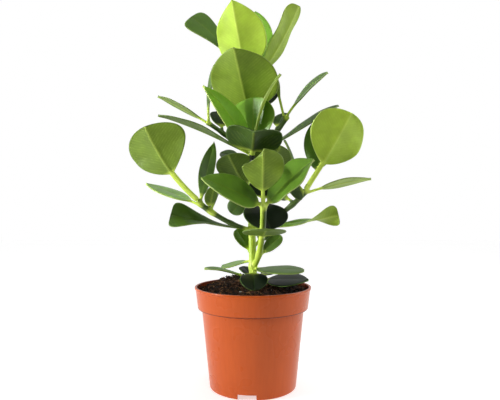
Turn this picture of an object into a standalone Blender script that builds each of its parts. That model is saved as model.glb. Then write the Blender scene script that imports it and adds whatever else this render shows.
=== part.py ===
"""A potted clusia: a green stem with side shoots, thick rounded leaves, soil, and a plastic nursery pot.

Metres, +Z up. The origin is the middle of the pot's foot, on the surface that the pot stands on.
The viewer stands on the -Y side, so a heading of 0 degrees points right, 90 points away and -90 points
at the viewer.
"""

from dataclasses import dataclass
import math

import bmesh
import bpy
from mathutils import Matrix, Vector, noise

MM = 0.001
CLEARANCE = 0.3 * MM

# The pot
RIM_RADIUS = 60 * MM
POT_HEIGHT = 103 * MM
BAND_HEIGHT = 22 * MM
BAND_FOOT_RADIUS = 56.8 * MM
BODY_TOP_RADIUS = 52.6 * MM
FOOT_RADIUS = 44.6 * MM
LIP_HEIGHT = 2.4 * MM
LIP_REACH = 0.9 * MM
WALL = 1.5 * MM
FOOT_WALL = 2.4 * MM
FOOT_DEPTH = 6 * MM
FOOT_ROUNDING = 2 * MM
POT_SIDES = 48
NOTCH_COUNT = 3
NOTCH_WIDTH = 18.5 * MM
NOTCH_HEIGHT = 5.4 * MM
NOTCH_DEPTH = 12 * MM
NOTCH_HEADING = -98
DRAIN_COUNT = 6
DRAIN_RADIUS = 4 * MM
DRAIN_RING = 27 * MM
DRAIN_CUT = 6 * MM
DRAIN_HEADING = 30
HOLE_SIDES = 16

# The soil
SOIL_EDGE = 99.5 * MM
SOIL_CROWN = 6 * MM
SOIL_HEAP = 6 * MM
SOIL_HEAP_PLACE = (-18 * MM, 34 * MM)
SOIL_HEAP_SPREAD = 22 * MM
SOIL_CRUMB = 2.6 * MM
SOIL_CRUMB_SIZE = 9 * MM
SOIL_RINGS = 10
SOIL_SECTORS = 36

# The stem
STEM_FOOT = 72 * MM
STEM_STEP = 7 * MM
NODE_SWELLING = 0.22
NODE_SPREAD = 4 * MM
STEM_SIDES_RESOLUTION = 2
STEM_FOOT_TAPER = 0.9
STEM_HOLE_REACH = 20 * MM
SHOOT_TIP_SEGMENTS = (8, 6)
SHOOT_TIP_FULLNESS = 1.06

# The leaves
LEAF_THICKNESS = 1.2 * MM
STALK_THICKNESS = 2.6 * MM
STALK_WIDTH = 3.2 * MM
STALK_SHARE = 0.09
ROOT_REACH = 2.4 * MM
LARGE_LEAF_WIDTH = 24
LARGE_LEAF_GRID = (7, 4)
SMALL_LEAF_GRID = (6, 2)
MIDRIB_STEPS = 24
MARGIN_WAVES = 1.5
SMOOTH_ANGLE = 35


@dataclass
class Shoot:
    """A length of stem through its nodes, in millimetres, tapering from one radius to the other."""

    nodes: list
    radius: tuple


SHOOTS = {
    "trunk": Shoot(
        [(0, 0, 90), (0, 0, 110), (0, 0, 123), (-1, 2, 162), (-2, 4, 200), (-1, 5, 240), (-2, 3, 280)]
        + [(-4, 0, 318)],
        (4.3, 2.6),
    ),
    "front": Shoot([(1, 0, 122), (6, -14, 137), (9, -35, 160), (10, -50, 187)], (3.0, 3.1)),
    "left": Shoot([(-1, 2, 160), (-22, -8, 168), (-42, -17, 180), (-54, -20, 189)], (2.3, 2.9)),
    "right": Shoot([(-1, 2, 160), (18, -4, 170), (40, -10, 187), (56, -15, 203)], (2.5, 2.7)),
    "upper_left": Shoot([(-1, 5, 239), (-18, 8, 251), (-31, 9, 262), (-48, 10, 274)], (2.3, 2.4)),
    "upper_right": Shoot([(-1, 5, 239), (14, 10, 255), (27, 14, 267), (37, 15, 281)], (2.3, 2.6)),
    "middle": Shoot([(-2, 4, 203), (-1, -12, 216), (-1, -22, 231), (-1, -27, 241)], (2.6, 2.6)),
}


@dataclass
class Leaf:
    """One leaf. Lengths are in millimetres and angles in degrees."""

    name: str
    shoot: str
    node: float  # its place on the shoot, counted in nodes from the shoot's foot
    heading: float  # the way that it points, in plan
    rise: float  # how steeply its tip stands above its root
    length: float  # along the midrib, from the middle of the stem to the tip
    width: float
    arch: float = -20  # how far the midrib bends, root to tip; below 0 the tip drops
    roll: float = 0  # the blade's turn about its midrib; above 0 the left half is raised
    twist: float = 0  # the roll that the tip has on top of that
    sweep: float = 0  # how far the heading turns, root to tip
    fold: float = 14  # how steeply each half leaves the midrib
    margin: float = -12  # how much that slope has changed at the margin
    wave: float = 0  # height of the waves in the margin
    stalk: float = 12  # length that is stalk, from the middle of the stem
    base: float = 0.75  # 0.5 is a round base, 1 a straight wedge
    tip: float = 0.5  # 0.5 is a round tip, 1 a pointed one
    right_tip: float = 0  # above 1, the right margin hollows in towards the tip; 0 for like the left


LEAVES = [
    # The crown, at the top of the trunk
    Leaf("crown_front", "trunk", 7, -115, 62, 78, 57, arch=14, fold=22, wave=2, tip=0.8, base=0.58),
    Leaf("crown_back", "trunk", 6.9, 78, 70, 90, 44, arch=10, tip=0.8),
    Leaf("crown_left", "trunk", 6.85, 172, 50.5, 95, 34, arch=-30, roll=-50, fold=6, base=2, tip=0.24),
    Leaf("crown_right", "trunk", 6.85, 0, 59, 95, 32, arch=18, roll=-31, fold=20, wave=2, tip=0.36),
    # Below the crown
    Leaf("high_front", "trunk", 6, -109, 50, 75, 74, arch=10, fold=22, wave=2, base=0.5, tip=0.72, stalk=10),
    Leaf("high_back", "trunk", 6, 68, 57, 74, 49, arch=20, base=0.5, tip=0.9),
    # The middle shoot, which faces the viewer
    Leaf("middle_left", "middle", 3, -172, 53, 78, 30, arch=-22, roll=-50, base=0.6, tip=0.9, stalk=6),
    Leaf("middle_right", "middle", 3, -46, 61, 80, 19, arch=-44, roll=42, tip=0.8, base=1.6),
    Leaf("middle_back", "middle", 2.2, 63, 87, 61, 49, arch=4, wave=2),
    Leaf("middle_front", "middle", 2.6, -88, 22, 47, 58, arch=6, fold=54, margin=-56, roll=-8, base=0.4),
    Leaf("middle_low", "middle", 2, -75, -25, 44, 34, arch=-40),
    # The long pair in the middle of the trunk
    Leaf("long_left", "trunk", 5, -171, 22, 102, 30, arch=-12, fold=24, base=0.9, tip=0.8, roll=-4),
    Leaf("long_right", "trunk", 5, 3, 30, 103, 30, arch=6, fold=18, base=1.4, roll=14),
    # The upper left shoot
    Leaf("upper_left_out", "upper_left", 2.85, 170, 29, 66, 26, arch=-10, roll=12, fold=6, tip=0.9),
    Leaf("upper_left_up", "upper_left", 3, 5, 84, 59, 17, arch=-20, roll=16, fold=6),
    Leaf("upper_left_inner", "upper_left", 2.15, 122, 61, 24, 23, stalk=4),
    Leaf("upper_left_back", "upper_left", 1.4, 50, 65, 30, 20, arch=-20),
    # The upper right shoot
    Leaf("upper_right_out", "upper_right", 3, -7, 46, 62, 26, arch=-22, roll=22),
    Leaf("upper_right_up", "upper_right", 2.8, -128, 67, 44, 16, arch=4, roll=-45, stalk=20),
    Leaf("upper_right_inner", "upper_right", 1.95, 52, 50, 24, 20, arch=-10, stalk=4),
    # The left shoot
    Leaf("left_paddle", "left", 3, -158, 53, 92, 66, arch=28, roll=50, stalk=40, base=0.8, fold=20),
    Leaf("left_out", "left", 2.75, 163, 20, 66, 28, arch=-6, roll=-12, fold=6, tip=0.9),
    Leaf("left_back", "left", 2.98, 68, 63, 70, 17, arch=-4, roll=12, fold=24, tip=0.9, base=0.9, stalk=5),
    Leaf("left_inner", "left", 2.3, -48, 68, 23, 16, arch=0, fold=20, base=0.5, stalk=2),
    Leaf("left_behind", "left", 2.1, 62, 50, 28, 15, arch=4, fold=16, roll=-50, stalk=4),
    Leaf("left_low", "trunk", 3, -170, 10.5, 83, 29, roll=-4, twist=-80, arch=9, base=1, tip=0.15, fold=24),
    # The right shoot
    Leaf("right_paddle", "right", 3, -14, 59, 86, 63, arch=6, roll=-55, stalk=29, base=0.7, wave=2),
    Leaf("right_back", "right", 2.85, 43, 73, 84, 46, arch=64, stalk=28, tip=0.6),
    Leaf("right_out", "right", 2.9, -5, 12, 64, 32, arch=-14, roll=-13, fold=6, tip=0.9),
    Leaf("right_up", "right", 2.55, 128, 68, 62, 16, arch=-24, roll=35),
    Leaf("right_inner", "right", 2.85, -150, -4, 18, 24, arch=-10, roll=-60, stalk=2),
    Leaf("right_under", "right", 2.1, 160, 25, 26, 22, arch=-20, roll=40, stalk=5),
    Leaf("right_low", "trunk", 3, -8, 9.5, 88, 23, arch=6, roll=45, twist=-145, base=1.3, tip=0.18),
    # The front shoot
    Leaf("front_facing", "front", 3, -90, 64, 58, 39, arch=14, wave=2, base=0.75, right_tip=1.8, stalk=17),
    Leaf("front_left", "front", 3, -172, 24, 62, 49, arch=-10, roll=-32, base=0.62, tip=0.85, stalk=3),
    Leaf("front_right", "front", 3, -10, 43, 62, 46, arch=-14, roll=34, wave=2, base=0.62, tip=0.7, stalk=3),
    Leaf("front_back", "front", 2.9, 88, 35, 44, 30, arch=-20),
    Leaf("front_level", "front", 1.9, -85, 14, 38, 41, arch=-6, base=0.5, fold=2, margin=0, stalk=6),
    # The middle of the trunk
    Leaf("trunk_front", "trunk", 3.75, -60, -38, 46, 48, arch=-40, base=0.8, stalk=5, roll=8),
    Leaf("trunk_front_left", "trunk", 4, -125, 45, 52, 40, arch=10, roll=20),
    Leaf("trunk_front_right", "trunk", 3.9, -45, 52, 63, 42, arch=10, roll=-24),
    Leaf("trunk_back", "trunk", 4, 95, 20, 76, 46, arch=-20),
    Leaf("trunk_back_left", "trunk", 4.75, 165, 20, 34, 22, arch=-14, roll=-28),
    Leaf("trunk_hanging_left", "trunk", 3.9, 180, -46, 26, 23, arch=-20, roll=-55, stalk=5),
    # Small leaves low on the trunk
    Leaf("small_left", "trunk", 2.35, 150, 54, 30, 17, arch=-14, roll=-30, stalk=5),
    Leaf("small_front", "trunk", 2.15, 8, 42, 38, 18, arch=-10, roll=40),
    Leaf("small_right", "trunk", 2.5, 52, 32, 32, 18, arch=-14, roll=30),
    # The lowest leaves, over the soil
    Leaf("soil_right", "trunk", 1.85, -33, 2, 60, 32, arch=-10, sweep=50, roll=8, fold=4, stalk=6),
    Leaf("soil_left", "trunk", 2.15, 145, -12, 38, 22, arch=0, roll=-14, fold=4, stalk=6),
    Leaf("soil_low_right", "trunk", 0.9, -20, 4, 57, 34, arch=-10, roll=15, fold=4, tip=0.8),
    Leaf("soil_low_left", "trunk", 1, -168, 14, 50, 15, arch=-24, roll=-4),
    Leaf("soil_front", "trunk", 1.6, -88, -24, 36, 28, arch=-50, base=0.55, stalk=8),
    Leaf("soil_back", "trunk", 1, 45, 5, 42, 26, arch=-20),
    Leaf("soil_back_left", "trunk", 1, 115, 24, 24, 16, arch=-20, stalk=5),
]


def clear_scene():
    for old in list(bpy.data.objects):
        bpy.data.objects.remove(old)


def collection(name):
    made = bpy.data.collections.new(name)
    bpy.context.scene.collection.children.link(made)
    return made


def material(name, colour, roughness):
    made = bpy.data.materials.new(name)
    made.use_nodes = True
    shader = made.node_tree.nodes["Principled BSDF"]
    shader.inputs["Base Color"].default_value = (*colour, 1)
    shader.inputs["Roughness"].default_value = roughness
    shader.inputs["Metallic"].default_value = 0
    return made


def add_object(name, mesh, home, finish=None):
    made = bpy.data.objects.new(name, mesh)
    home.objects.link(made)
    if finish:
        mesh.materials.append(finish)
    return made


def as_cutter(made):
    made.hide_render = True
    made.display_type = "WIRE"
    return made


def cut(target, cutter, name):
    boolean = target.modifiers.new(name, "BOOLEAN")
    boolean.operation = "DIFFERENCE"
    boolean.object = cutter
    return boolean


def shade_round(mesh):
    mesh.shade_smooth()
    mesh.set_sharp_from_angle(angle=math.radians(SMOOTH_ANGLE))


def turned(name, outline, sides, home, finish):
    """A closed ring or a bowl turned about Z from (radius, height) points that run down its outer side."""
    mesh = bpy.data.meshes.new(name)
    edges = [(i, i + 1) for i in range(len(outline) - 1)]
    mesh.from_pydata([(radius, 0, height) for radius, height in outline], edges, [])
    made = add_object(name, mesh, home, finish)
    screw = made.modifiers.new("Turn", "SCREW")
    screw.steps = sides
    screw.render_steps = sides
    screw.use_merge_vertices = True
    screw.merge_threshold = 0.00001
    screw.use_smooth_shade = True
    return made


def inner_wall(height):
    """The pot's inside radius at a height, from the base plate to the rim."""
    shoulder = POT_HEIGHT - BAND_HEIGHT
    if height < shoulder:
        share = height / shoulder
        return FOOT_RADIUS + (BODY_TOP_RADIUS - FOOT_RADIUS) * share - WALL
    share = (height - shoulder) / BAND_HEIGHT
    return BAND_FOOT_RADIUS + (RIM_RADIUS - LIP_REACH - BAND_FOOT_RADIUS) * share - WALL


def plate_top():
    return FOOT_DEPTH + WALL


def build_pot(home, cutters, finish):
    """A thin shell with a tall rim band, a shoulder under it, and a base plate raised on a notched foot."""
    shoulder = POT_HEIGHT - BAND_HEIGHT
    lip_foot = POT_HEIGHT - LIP_HEIGHT
    outline = [
        (0, plate_top()),
        (inner_wall(plate_top()), plate_top()),
        (inner_wall(shoulder - 2 * WALL), shoulder - 2 * WALL),
        (inner_wall(shoulder + WALL), shoulder + WALL),
        (inner_wall(POT_HEIGHT), POT_HEIGHT - 0.4 * MM),
        (inner_wall(POT_HEIGHT) + 0.5 * MM, POT_HEIGHT),
        (RIM_RADIUS - 0.5 * MM, POT_HEIGHT),
        (RIM_RADIUS, POT_HEIGHT - 0.5 * MM),
        (RIM_RADIUS, lip_foot + 0.5 * MM),
        (RIM_RADIUS - LIP_REACH, lip_foot),
        (BAND_FOOT_RADIUS, shoulder + 0.6 * MM),
        (BAND_FOOT_RADIUS - 0.7 * MM, shoulder),
        (BODY_TOP_RADIUS + 0.6 * MM, shoulder - 0.4 * MM),
        (BODY_TOP_RADIUS, shoulder - 1.4 * MM),
        (FOOT_RADIUS, FOOT_ROUNDING),
        (FOOT_RADIUS - 0.3 * FOOT_ROUNDING, 0.3 * FOOT_ROUNDING),
        (FOOT_RADIUS - 0.7 * FOOT_ROUNDING, 0),
        (FOOT_RADIUS - FOOT_WALL - 0.7 * FOOT_ROUNDING, 0),
        (FOOT_RADIUS - FOOT_WALL - 0.3 * FOOT_ROUNDING, FOOT_DEPTH),
        (0, FOOT_DEPTH),
    ]
    pot = turned("pot", outline, POT_SIDES, home, finish)
    for number in range(NOTCH_COUNT):
        heading = math.radians(NOTCH_HEADING + number * 360 / NOTCH_COUNT)
        notch = box_cutter(
            f"notch_{number + 1}",
            (NOTCH_WIDTH, NOTCH_DEPTH, 2 * NOTCH_HEIGHT),
            (FOOT_RADIUS * math.cos(heading), FOOT_RADIUS * math.sin(heading), 0),
            heading + math.pi / 2,
            cutters,
        )
        cut(pot, notch, notch.name)
    for number in range(DRAIN_COUNT):
        heading = math.radians(DRAIN_HEADING + number * 360 / DRAIN_COUNT)
        place = (DRAIN_RING * math.cos(heading), DRAIN_RING * math.sin(heading), FOOT_DEPTH)
        drain = cylinder_cutter(f"drain_{number + 1}", DRAIN_RADIUS, DRAIN_CUT, place, cutters)
        cut(pot, drain, drain.name)
    return pot


def box_cutter(name, size, place, turn, home):
    mesh = bpy.data.meshes.new(name)
    shape = bmesh.new()
    bmesh.ops.create_cube(shape, size=1)
    bmesh.ops.scale(shape, vec=size, verts=shape.verts)
    shape.to_mesh(mesh)
    shape.free()
    made = as_cutter(add_object(name, mesh, home))
    made.location = place
    made.rotation_euler = (0, 0, turn)
    return made


def cylinder_cutter(name, radius, depth, place, home):
    mesh = bpy.data.meshes.new(name)
    shape = bmesh.new()
    bmesh.ops.create_cone(
        shape, cap_ends=True, segments=HOLE_SIDES, radius1=radius, radius2=radius, depth=depth
    )
    shape.to_mesh(mesh)
    shape.free()
    made = as_cutter(add_object(name, mesh, home))
    made.location = place
    return made


def soil_height(x, y):
    """The surface: a low crown, a heap behind the stem on the left, and crumbs."""
    radius = math.hypot(x, y)
    edge = inner_wall(SOIL_EDGE)
    crown = SOIL_CROWN * (1 - (radius / edge) ** 2)
    away = math.hypot(x - SOIL_HEAP_PLACE[0], y - SOIL_HEAP_PLACE[1])
    heap = SOIL_HEAP * math.exp(-((away / SOIL_HEAP_SPREAD) ** 2))
    crumb = SOIL_CRUMB * noise.noise(Vector((x, y, 0)) / SOIL_CRUMB_SIZE)
    return SOIL_EDGE + crown + heap + crumb


def build_soil(home, cutters, finish):
    """A plug that fills the pot, with a crumbly top and a plain hole where the stem stands."""
    edge = inner_wall(SOIL_EDGE - SOIL_CRUMB) - 2 * CLEARANCE
    outline = [(edge * ring / SOIL_RINGS, SOIL_EDGE) for ring in range(SOIL_RINGS + 1)]
    floor = plate_top() + CLEARANCE
    shoulder = POT_HEIGHT - BAND_HEIGHT
    for height in (shoulder + WALL, shoulder - 2 * WALL, floor):
        outline.append((inner_wall(height) - 2 * CLEARANCE, height))
    outline.append((0, floor))
    soil = turned("soil", outline, SOIL_SECTORS, home, finish)
    soil.data = evaluated_mesh(soil)
    soil.modifiers.clear()
    for vertex in soil.data.vertices:
        if vertex.co.z > SOIL_EDGE - CLEARANCE:
            vertex.co.z = soil_height(vertex.co.x, vertex.co.y)
    depth = 2 * (SOIL_EDGE + STEM_HOLE_REACH - STEM_FOOT)
    hole_radius = SHOOTS["trunk"].radius[0] * MM * (1 + NODE_SWELLING) + 2 * CLEARANCE
    place = (0, 0, STEM_FOOT - CLEARANCE + depth / 2)
    cut(soil, cylinder_cutter("stem_hole", hole_radius, depth, place, cutters), "Stem hole")
    return soil


def evaluated_mesh(made):
    """A new mesh of the object's shape with its modifiers."""
    bpy.context.view_layer.update()
    graph = bpy.context.evaluated_depsgraph_get()
    return bpy.data.meshes.new_from_object(made.evaluated_get(graph))


def node_place(shoot, node):
    """The middle of the shoot at a node, or at a share of the way from one node to the next."""
    nodes = SHOOTS[shoot].nodes
    below = min(math.floor(node), len(nodes) - 2)
    return Vector(nodes[below]).lerp(Vector(nodes[below + 1]), node - below) * MM


def shoot_direction(shoot, node):
    nodes = SHOOTS[shoot].nodes
    below = min(math.floor(node), len(nodes) - 2)
    return (Vector(nodes[below + 1]) - Vector(nodes[below])).normalized()


def shoot_line(shoot):
    """Points close together on a smooth curve through the shoot's nodes, each with its radius."""
    nodes = [Vector(node) * MM for node in shoot.nodes]
    ends = [2 * nodes[0] - nodes[1], *nodes, 2 * nodes[-1] - nodes[-2]]
    line = []
    for k in range(1, len(ends) - 2):
        before, start, end, after = ends[k - 1 : k + 3]
        steps = max(2, round((end - start).length / STEM_STEP))
        for step in range(steps):
            line.append(through(before, start, end, after, step / steps))
    line.append(nodes[-1])
    thick, thin = (radius * MM for radius in shoot.radius)
    made = []
    for i, point in enumerate(line):
        nearest = min((point - node).length for node in nodes[1:])
        swelling = 1 + NODE_SWELLING * math.exp(-((nearest / NODE_SPREAD) ** 2))
        made.append((point, (thick + (thin - thick) * i / (len(line) - 1)) * swelling))
    return made


def through(before, start, end, after, t):
    """Catmull and Rom's curve between start and end."""
    return 0.5 * (
        2 * start
        + (end - before) * t
        + (2 * before - 5 * start + 4 * end - after) * t**2
        + (3 * start - before - 3 * end + after) * t**3
    )


def tube(name, line, extra, home):
    """A closed tube along the line, as a mesh, thicker than its radii by extra."""
    curve = bpy.data.curves.new(name, "CURVE")
    curve.dimensions = "3D"
    curve.bevel_depth = 1
    curve.bevel_resolution = STEM_SIDES_RESOLUTION
    curve.use_fill_caps = True
    spline = curve.splines.new("POLY")
    spline.points.add(len(line) - 1)
    for point, (place, radius) in zip(spline.points, line):
        point.co = (*place, 1)
        point.radius = radius + extra
    wire = add_object(name, curve, home)
    mesh = evaluated_mesh(wire)
    bpy.data.objects.remove(wire)
    weld(mesh)
    return add_object(name, mesh, home)


def weld(mesh, distance=0.00001):
    shape = bmesh.new()
    shape.from_mesh(mesh)
    bmesh.ops.remove_doubles(shape, verts=shape.verts, dist=distance)
    bmesh.ops.recalc_face_normals(shape, faces=shape.faces)
    shape.to_mesh(mesh)
    shape.free()


def ball(name, place, radius, home):
    mesh = bpy.data.meshes.new(name)
    shape = bmesh.new()
    around, upright = SHOOT_TIP_SEGMENTS
    bmesh.ops.create_uvsphere(shape, u_segments=around, v_segments=upright, radius=radius)
    bmesh.ops.translate(shape, vec=place, verts=shape.verts)
    shape.to_mesh(mesh)
    shape.free()
    return add_object(name, mesh, home)


def build_stem(name, extra, home, finish):
    """The trunk with its side shoots fused to it, each ending in a rounded tip."""
    lines = {key: shoot_line(shoot) for key, shoot in SHOOTS.items()}
    foot = Vector((0, 0, STEM_FOOT - extra))
    first_radius = lines["trunk"][0][1]
    lines["trunk"].insert(0, (foot, first_radius * STEM_FOOT_TAPER))
    stem = tube(name, lines.pop("trunk"), extra, home)
    joined = bpy.data.collections.new(name + " shoots")
    bpy.context.scene.collection.children.link(joined)
    for key, line in lines.items():
        tube(f"{name}_{key}", line, extra, joined)
    for key, shoot in SHOOTS.items():
        radius = shoot.radius[1] * MM * (1 + NODE_SWELLING) + extra
        ball(f"{name}_{key}_tip", node_place(key, len(shoot.nodes) - 1), radius * SHOOT_TIP_FULLNESS, joined)
    union = stem.modifiers.new("Shoots", "BOOLEAN")
    union.operation = "UNION"
    union.operand_type = "COLLECTION"
    union.collection = joined
    union.solver = "MANIFOLD"
    whole = evaluated_mesh(stem)
    for old in list(joined.objects):
        bpy.data.objects.remove(old)
    bpy.data.collections.remove(joined)
    stem.modifiers.clear()
    stem.data = whole
    shade_round(whole)
    if finish:
        whole.materials.append(finish)
    return stem


def outline_half_width(leaf, share, across):
    """The width of the blade's left or right half, widest where its base and tip shapes meet."""
    if share <= 0 or share >= 1:
        return 0
    widest = leaf.base / (leaf.base + leaf.tip)
    if across < 0 and leaf.right_tip and share > widest:
        return leaf.width * MM / 2 * ((1 - share) / (1 - widest)) ** leaf.right_tip
    fullest = widest**leaf.base * (1 - widest) ** leaf.tip
    return leaf.width * MM / 2 * share**leaf.base * (1 - share) ** leaf.tip / fullest


def stalk_half_width(leaf):
    """Wider blades stand on wider stalks."""
    return max(STALK_WIDTH, STALK_SHARE * leaf.width * MM) / 2


def half_width(leaf, along, across):
    """The width of the leaf's left or right half at a distance along the midrib, stalk and blade blended."""
    stalk = leaf.stalk * MM
    blade = leaf.length * MM - stalk
    share = (along - stalk) / blade
    narrow = stalk_half_width(leaf) * (1 - max(share, 0) ** 2)
    return math.hypot(narrow, outline_half_width(leaf, share, across))


def midrib(leaf, along):
    """Place, forward, side and upper normal of the midrib at a distance along it."""
    length = leaf.length * MM
    place = root_place(leaf)
    for step in range(MIDRIB_STEPS):
        share = (step + 0.5) / MIDRIB_STEPS * along / length
        place = place + direction(leaf, share) * (along / MIDRIB_STEPS)
    share = along / length
    forward = direction(leaf, share)
    heading = math.radians(leaf.heading + leaf.sweep * (share - 0.5))
    level = Vector((-math.sin(heading), math.cos(heading), 0))
    normal = forward.cross(level)
    turn = Matrix.Rotation(math.radians(leaf.roll + leaf.twist * share**3), 3, forward)
    return place, forward, turn @ level, turn @ normal


def root_place(leaf):
    """Just under the stem's surface, on the side that the leaf points to."""
    forward = direction(leaf, 0)
    axis = shoot_direction(leaf.shoot, leaf.node)
    out = (forward - forward.dot(axis) * axis).normalized()
    return node_place(leaf.shoot, leaf.node) + out * ROOT_REACH


def direction(leaf, share):
    heading = math.radians(leaf.heading + leaf.sweep * (share - 0.5))
    rise = math.radians(leaf.rise + leaf.arch * (share - 0.5))
    return Vector(
        (math.cos(rise) * math.cos(heading), math.cos(rise) * math.sin(heading), math.sin(rise))
    )


def leaf_point(leaf, along, across):
    """A point of the blade's middle surface, with across from -1 at the right margin to 1 at the left."""
    place, _, side, normal = midrib(leaf, along)
    half = half_width(leaf, along, across)
    blade_share = max(0, (along / MM - leaf.stalk) / (leaf.length - leaf.stalk))
    opening = min(1, 2 * blade_share)
    slope = math.radians(leaf.fold + leaf.margin * abs(across) / 2) * opening
    lift = leaf.wave * MM * across**2 * math.sin(2 * math.pi * MARGIN_WAVES * blade_share + across)
    out = half * across * math.cos(slope)
    up = half * abs(across) * math.sin(slope) + lift * opening
    return place + side * out + normal * up


def leaf_grid(leaf):
    """Rows along the blade and columns across it."""
    return LARGE_LEAF_GRID if leaf.width >= LARGE_LEAF_WIDTH else SMALL_LEAF_GRID


def along_of(leaf, row_share):
    """Rows stand closer together at both ends of the blade, where the outline turns."""
    stalk = leaf.stalk * MM
    first = 1 / (leaf_grid(leaf)[0] + 1)
    if row_share <= first:
        return stalk * row_share / first
    share = (row_share - first) / (1 - first)
    return stalk + (leaf.length * MM - stalk) * (1 - math.cos(math.pi * share)) / 2


def leaf_sheet(leaf):
    """The blade and stalk as an open sheet of triangles, its upper side along the normals."""
    shape = bmesh.new()
    rows, columns = leaf_grid(leaf)
    bmesh.ops.create_grid(shape, x_segments=rows + 1, y_segments=columns, size=1)
    for vertex in shape.verts:
        along = along_of(leaf, (vertex.co.x + 1) / 2)
        vertex.co = leaf_point(leaf, along, vertex.co.y)
    bmesh.ops.remove_doubles(shape, verts=shape.verts, dist=0.00005)
    bmesh.ops.triangulate(shape, faces=shape.faces)
    return shape


def build_leaf(leaf, home, finish, stem_space):
    mesh = bpy.data.meshes.new(leaf.name)
    shape = leaf_sheet(leaf)
    shape.to_mesh(mesh)
    shape.free()
    shade_round(mesh)
    made = add_object("leaf_" + leaf.name, mesh, home, finish)
    root = root_place(leaf)
    body = made.vertex_groups.new(name="thickness")
    for vertex in mesh.vertices:
        beyond = max(0, (vertex.co - root).length / MM - leaf.stalk) / (leaf.length - leaf.stalk)
        weight = max(LEAF_THICKNESS / STALK_THICKNESS, 1 - 3 * beyond)
        body.add([vertex.index], weight, "REPLACE")
    thicken = made.modifiers.new("Thickness", "SOLIDIFY")
    thicken.thickness = STALK_THICKNESS
    thicken.offset = 0
    thicken.vertex_group = body.name
    cut(made, stem_space, "Stem")
    return made


def main():
    clear_scene()
    home = collection("Potted clusia")
    cutters = collection("Cutters")
    terracotta = material("Pot plastic", (0.62, 0.16, 0.05), 0.42)
    earth = material("Soil", (0.035, 0.016, 0.009), 0.95)
    bark = material("Stem", (0.33, 0.47, 0.05), 0.45)
    green = material("Leaf", (0.06, 0.2, 0.02), 0.32)
    build_pot(home, cutters, terracotta)
    build_soil(home, cutters, earth)
    build_stem("stem", 0, home, bark)
    stem_space = as_cutter(build_stem("stem_space", CLEARANCE, cutters, None))
    for leaf in LEAVES:
        build_leaf(leaf, home, green, stem_space)


if __name__ == "__main__":
    main()
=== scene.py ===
# %% [markdown]
# # A potted clusia
#
# A clusia is a house plant with thick, rounded leaves in opposite pairs on a green stem. This lesson
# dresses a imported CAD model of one: the CAD nodes keep the real sizes, and each is replaced by a finer
# piece of the same form. Lengths are in metres, +Z is up, and the viewer stands on the -Y side.

# %% Load the frame
import math
import random
from collections import namedtuple
from dataclasses import dataclass

import bmesh
import bpy
from mathutils import Matrix, Vector, noise


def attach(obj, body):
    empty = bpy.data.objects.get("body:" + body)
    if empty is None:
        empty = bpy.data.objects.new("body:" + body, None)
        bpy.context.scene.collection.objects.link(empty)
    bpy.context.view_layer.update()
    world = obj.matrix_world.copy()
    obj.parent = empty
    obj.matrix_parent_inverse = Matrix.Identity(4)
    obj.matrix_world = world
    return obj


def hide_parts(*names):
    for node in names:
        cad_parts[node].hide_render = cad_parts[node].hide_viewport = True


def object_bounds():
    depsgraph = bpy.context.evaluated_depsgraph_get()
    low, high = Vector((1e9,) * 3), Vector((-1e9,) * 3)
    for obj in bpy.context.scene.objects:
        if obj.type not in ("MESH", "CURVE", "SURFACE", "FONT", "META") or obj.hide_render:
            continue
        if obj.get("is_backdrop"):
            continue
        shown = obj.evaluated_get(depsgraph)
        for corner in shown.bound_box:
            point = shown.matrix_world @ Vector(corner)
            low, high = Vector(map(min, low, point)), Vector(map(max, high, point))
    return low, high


MM = 0.001
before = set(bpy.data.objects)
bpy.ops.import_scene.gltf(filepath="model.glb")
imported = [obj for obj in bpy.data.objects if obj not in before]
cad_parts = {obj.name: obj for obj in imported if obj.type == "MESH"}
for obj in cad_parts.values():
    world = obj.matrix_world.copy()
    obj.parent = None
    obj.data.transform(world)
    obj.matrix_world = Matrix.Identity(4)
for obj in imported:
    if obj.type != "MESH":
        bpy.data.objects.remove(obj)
cad_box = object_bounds()
print("CAD nodes:", len(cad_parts), "size in mm:", [round(s / MM) for s in cad_box[1] - cad_box[0]])

# %% [markdown]
# ## The camera
#
# The pot's rim and foot show as ellipses, and how flat they are gives the height of the eye and its
# distance. The picture is 500 pixels wide, and the focal length is known in pixels, so the lens follows
# from both.

# %% Camera
PICTURE_WIDTH_PX = 500
FOCAL_LENGTH_PX = 536
SENSOR_WIDTH_MM = 36
EYE = Vector((-3, -556, 192)) * MM
NEAREST_SEEN = 10 * MM

bpy.ops.object.camera_add(location=EYE, rotation=(math.pi / 2, 0, 0))
camera = bpy.context.object
camera.data.sensor_width = SENSOR_WIDTH_MM
camera.data.lens = FOCAL_LENGTH_PX / PICTURE_WIDTH_PX * SENSOR_WIDTH_MM
camera.data.clip_start = NEAREST_SEEN
bpy.context.scene.camera = camera
print("lens:", round(camera.data.lens, 1), "mm")

# %% [markdown]
# ## Short words for nodes
#
# A finish is a small graph of nodes, and these helpers keep each graph readable. `wire` adds a node and
# joins its inputs, `mixed` blends two colours, `ramp` and `fade` turn a number into another, and `measured`
# reads a number that was stored on the mesh.


# %% Node helpers
def paint(red, green, blue):
    """A colour as the screen shows it, 0 to 255, in the linear values that the sockets take."""
    shown = [value / 255 for value in (red, green, blue)]
    # The curve of the sRGB standard
    return (*[s / 12.92 if s <= 0.04045 else ((s + 0.055) / 1.055) ** 2.4 for s in shown], 1)


def give(tree, socket, value):
    """Joins another node's output to a socket, or sets the socket's own value."""
    if isinstance(value, bpy.types.NodeSocket):
        tree.links.new(value, socket)
    else:
        socket.default_value = value


def wire(tree, kind, inputs, output=0, **options):
    """Adds a node, gives its inputs a value or another output, and returns its own output."""
    node = tree.nodes.new("ShaderNode" + kind)
    for option, value in options.items():
        setattr(node, option, value)
    for socket, value in inputs.items():
        give(tree, node.inputs[socket], value)
    return node.outputs[output]


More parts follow.
